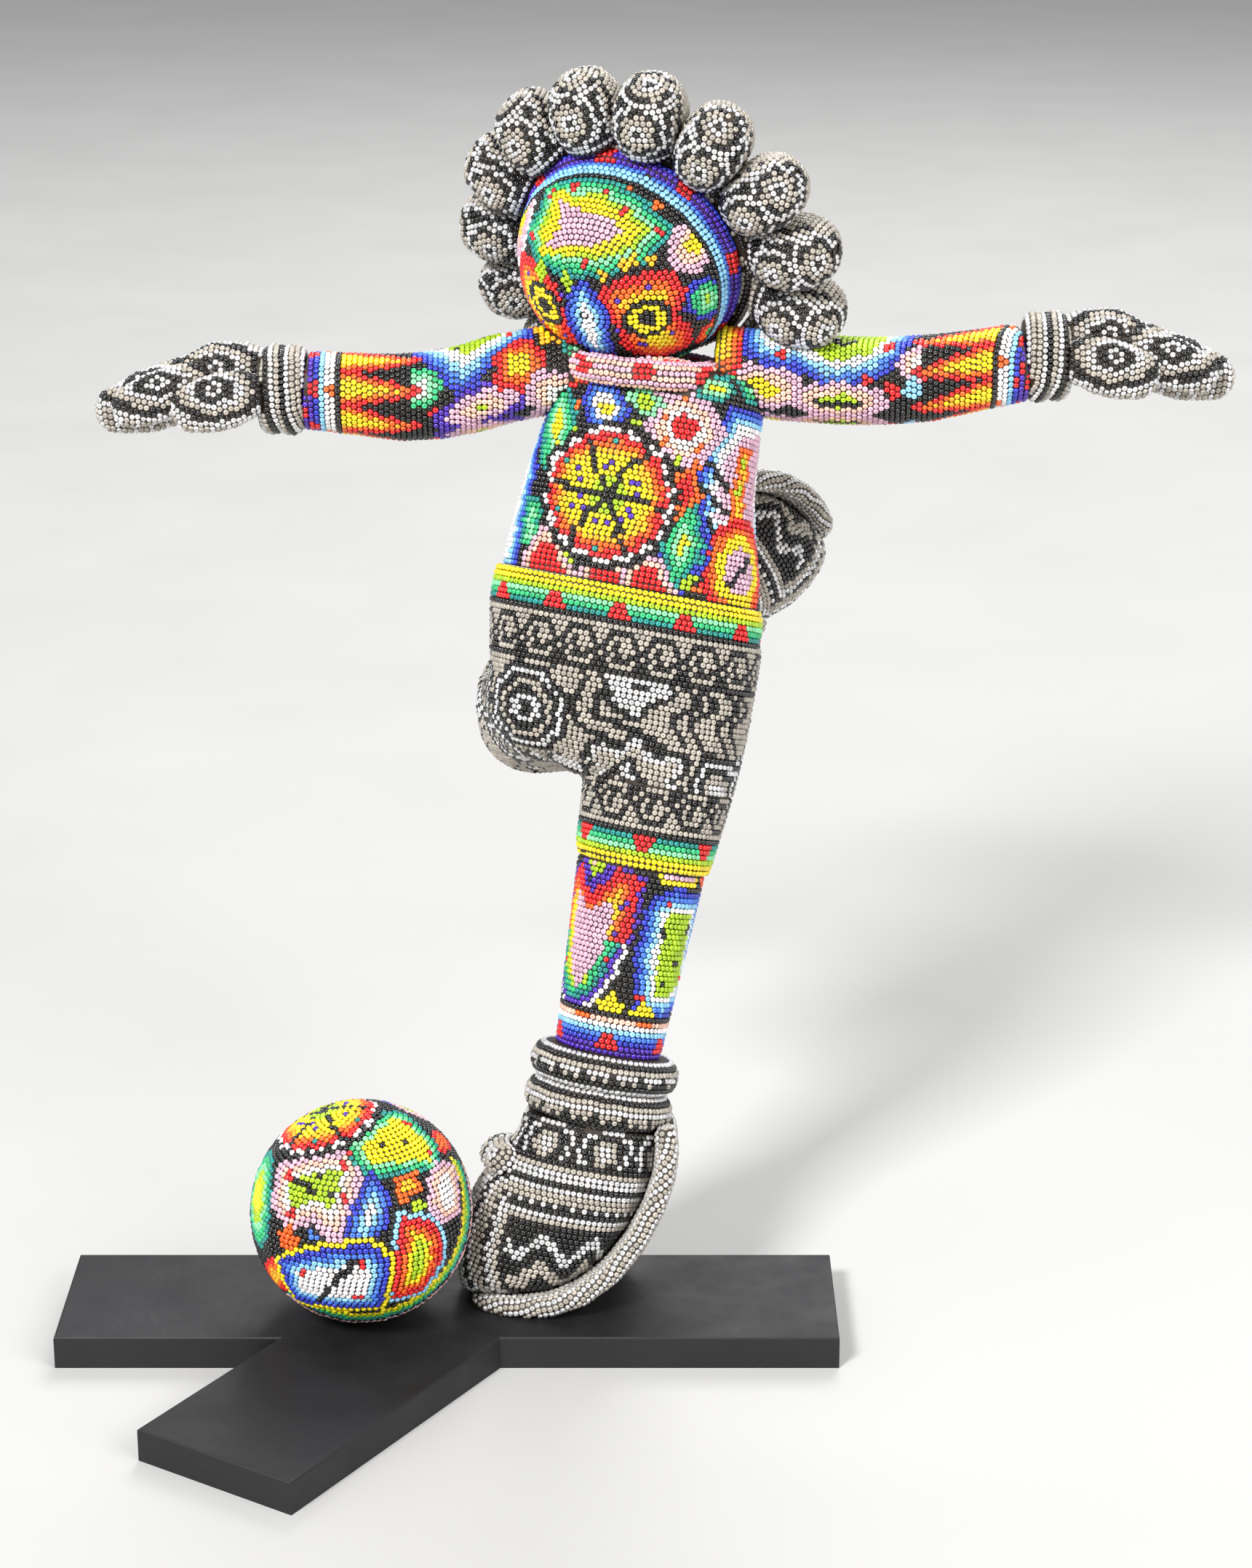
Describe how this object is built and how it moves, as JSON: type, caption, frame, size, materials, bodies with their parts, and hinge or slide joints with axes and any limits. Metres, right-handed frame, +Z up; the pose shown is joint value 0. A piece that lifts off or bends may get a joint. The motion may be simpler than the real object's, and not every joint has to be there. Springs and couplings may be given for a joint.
{
  "type": "beaded figure",
  "caption": "Standing figure kicking a ball on a flat black base, covered in rows of seed beads, arms out, a ring of round petals about the face.",
  "frame": {"origin": "middle of the whole object's footprint rectangle, on the table plane under the base plate", "axes": "+X along the base bar towards the raised foot's side, +Y to the figure's back, +Z up"},
  "size_m": [0.4184, 0.3298, 0.4375],
  "materials": {
    "black_painted_steel": "matte black paint",
    "zinc_plated_steel": "satin",
    "beech_dowel": "bare wood",
    "silver_black_beads": "silver and black glass seed beads in beeswax over a wooden core",
    "ball_beads": "bright opaque glass seed beads in beeswax over a wooden core",
    "face_beads": "bright opaque glass seed beads in beeswax over a wooden core",
    "torso_beads": "bright opaque glass seed beads in beeswax over a wooden core",
    "arm_beads": "bright opaque glass seed beads in beeswax over a wooden core",
    "shin_beads": "bright opaque glass seed beads in beeswax over a wooden core"
  },
  "bodies": {
    "root": {"ball": "ball_beads", "ball_screw": "zinc_plated_steel", "ball_screw_washer": "zinc_plated_steel", "base_plate": "black_painted_steel", "face_dome": "face_beads", "face_dowel": "beech_dowel", "face_rim": "face_beads", "head_core": "silver_black_beads", "left_arm": "arm_beads", "left_cuff": "silver_black_beads", "left_finger_front": "silver_black_beads", "left_finger_rear": "silver_black_beads", "left_palm": "silver_black_beads", "left_shoulder_dowel": "beech_dowel", "left_thumb": "silver_black_beads", "left_wrist_dowel": "beech_dowel", "leg_bolt": "zinc_plated_steel", "leg_bolt_washer": "zinc_plated_steel", "leg_dowel": "beech_dowel", "mane_petal_1": "silver_black_beads", "mane_petal_10": "silver_black_beads", "mane_petal_11": "silver_black_beads", "mane_petal_12": "silver_black_beads", "mane_petal_2": "silver_black_beads", "mane_petal_3": "silver_black_beads", "mane_petal_4": "silver_black_beads", "mane_petal_5": "silver_black_beads", "mane_petal_6": "silver_black_beads", "mane_petal_7": "silver_black_beads", "mane_petal_8": "silver_black_beads", "mane_petal_9": "silver_black_beads", "neck_dowel": "beech_dowel", "neck_ring": "face_beads", "raised_leg_dowel": "beech_dowel", "raised_roll_lower": "silver_black_beads", "raised_roll_upper": "silver_black_beads", "raised_shin": "shin_beads", "raised_shoe": "silver_black_beads", "raised_sole": "silver_black_beads", "raised_strap": "silver_black_beads", "right_arm": "arm_beads", "right_cuff": "silver_black_beads", "right_finger_front": "silver_black_beads", "right_finger_rear": "silver_black_beads", "right_palm": "silver_black_beads", "right_shoulder_dowel": "beech_dowel", "right_thumb": "silver_black_beads", "right_wrist_dowel": "beech_dowel", "shorts": "silver_black_beads", "standing_roll_lower": "silver_black_beads", "standing_roll_upper": "silver_black_beads", "standing_shin": "shin_beads", "standing_shoe": "silver_black_beads", "standing_sole": "silver_black_beads", "standing_strap": "silver_black_beads", "torso": "torso_beads", "waist_dowel": "beech_dowel"}
  },
  "joints": []
}
